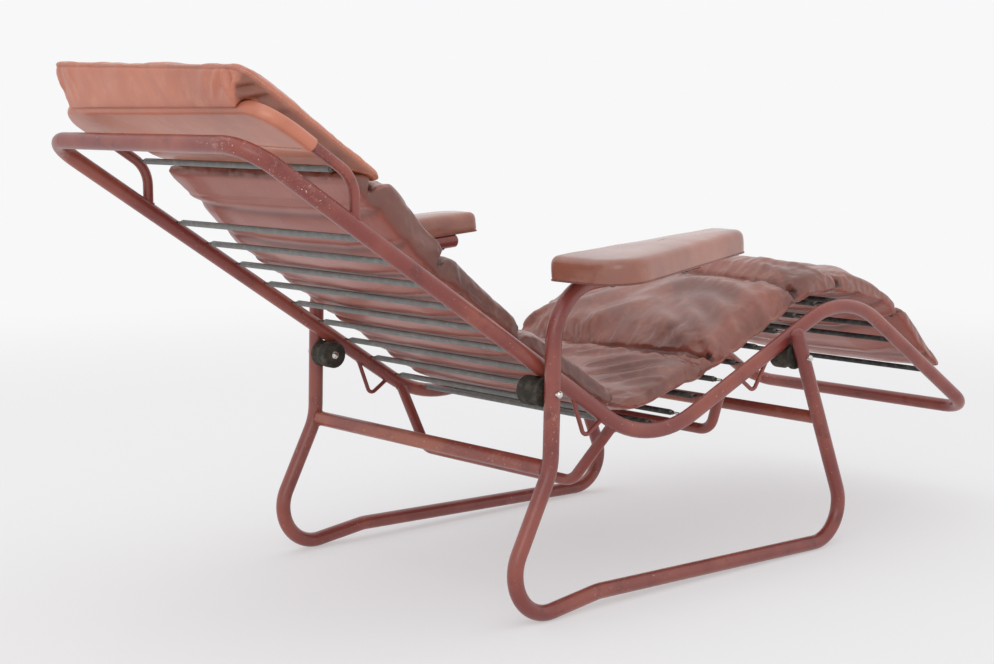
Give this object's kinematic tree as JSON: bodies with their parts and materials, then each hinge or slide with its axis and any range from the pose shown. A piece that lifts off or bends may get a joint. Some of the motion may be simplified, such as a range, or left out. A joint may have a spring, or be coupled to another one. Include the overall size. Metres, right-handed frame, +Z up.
{
  "type": "reclining lounge chair",
  "caption": "Long padded lounge chair: a sprung steel-tube frame with a leather mattress and headrest glides on grooved rollers in a bent-tube base with armrests.",
  "frame": {"origin": "bottom centre of the bounding box, on the floor", "axes": "+X to the sitter's left, +Y toward the head end, +Z up"},
  "size_m": [0.8832, 1.673, 0.8307],
  "materials": {
    "frame_paint": "worn satin oxblood paint",
    "leather": "soft red-brown leather with a low sheen",
    "board": "plain board under the arm pad",
    "bright_steel": "bright domed heads",
    "sheath": "grey spring sheath",
    "dark_spring": "near-black spring sheath",
    "rubber": "aged olive-black rubber",
    "bush": "plain steel tube"
  },
  "bodies": {
    "base": {"side_frame_left": "frame_paint", "side_frame_right": "frame_paint", "rear_crossbar": "frame_paint", "front_crossbar": "frame_paint", "tube_plugs": "frame_paint", "arm_board_left": "board", "arm_board_right": "board", "arm_pad_left": "leather", "arm_pad_right": "leather", "arm_screws": "bright_steel", "roller_bolts": "bright_steel", "roller_washers": "bright_steel", "roller_nuts": "bright_steel"},
    "roller_rl": {"roller_rear_left": "rubber", "bush_rear_left": "bush"},
    "roller_rr": {"roller_rear_right": "rubber", "bush_rear_right": "bush"},
    "roller_fl": {"roller_front_left": "rubber", "bush_front_left": "bush"},
    "roller_fr": {"roller_front_right": "rubber", "bush_front_right": "bush"},
    "fold_link": {"fold_spring": "dark_spring"},
    "lounge": {"main_loop": "frame_paint", "headrest_hoop": "frame_paint", "rear_brace": "frame_paint", "front_brace": "frame_paint", "rear_stop_left": "frame_paint", "rear_stop_right": "frame_paint", "front_stop_left": "frame_paint", "front_stop_right": "frame_paint", "back_spring_1": "sheath", "back_spring_2": "sheath", "back_spring_3": "sheath", "back_spring_4": "sheath", "back_spring_5": "sheath", "back_spring_6": "sheath", "back_spring_7": "sheath", "back_spring_8": "sheath", "back_spring_9": "sheath", "back_spring_10": "sheath", "seat_spring_2": "dark_spring", "seat_spring_3": "dark_spring", "seat_spring_4": "dark_spring", "seat_spring_5": "dark_spring", "seat_spring_6": "dark_spring", "seat_spring_7": "dark_spring", "seat_spring_8": "dark_spring", "seat_spring_9": "dark_spring", "seat_spring_10": "dark_spring", "seat_spring_11": "dark_spring", "calf_spring_1": "dark_spring", "calf_spring_2": "dark_spring", "calf_spring_3": "dark_spring", "headrest_spring_1": "sheath", "headrest_spring_2": "sheath", "mattress_back": "leather", "mattress_seat": "leather", "head_pillow": "leather", "pillow_sleeve": "leather"}
  },
  "joints": [
    {"name": "glide", "type": "hinge", "parent": "base", "child": "fold_link", "pos_m": [0, 0.00349, 0.55599], "axis": [1, 0, 0], "range_deg": [-8.9, 9.53]},
    {"name": "fold_turn", "type": "hinge", "parent": "fold_link", "child": "lounge", "pos_m": [0, 0.04418, 0.26229], "axis": [1, 0, 0], "range_deg": [-6, 6]},
    {"name": "roll_rear_left", "type": "hinge", "parent": "base", "child": "roller_rl", "pos_m": [0.2655, 0.313, 0.34608], "axis": [1, 0, 0], "range_deg": [-160, 160]},
    {"name": "roll_rear_right", "type": "hinge", "parent": "base", "child": "roller_rr", "pos_m": [-0.2655, 0.313, 0.34608], "axis": [1, 0, 0], "range_deg": [-160, 160]},
    {"name": "roll_front_left", "type": "hinge", "parent": "base", "child": "roller_fl", "pos_m": [0.2655, -0.276, 0.3438], "axis": [1, 0, 0], "range_deg": [-160, 160]},
    {"name": "roll_front_right", "type": "hinge", "parent": "base", "child": "roller_fr", "pos_m": [-0.2655, -0.276, 0.3438], "axis": [1, 0, 0], "range_deg": [-160, 160]}
  ],
  "couplings": [
    {"joint": "fold_turn", "follows": "glide", "ratio": -0.52802},
    {"joint": "roll_rear_left", "follows": "glide", "ratio": -15.549},
    {"joint": "roll_rear_right", "follows": "glide", "ratio": -15.549},
    {"joint": "roll_front_left", "follows": "glide", "ratio": -14.163},
    {"joint": "roll_front_right", "follows": "glide", "ratio": -14.163}
  ]
}
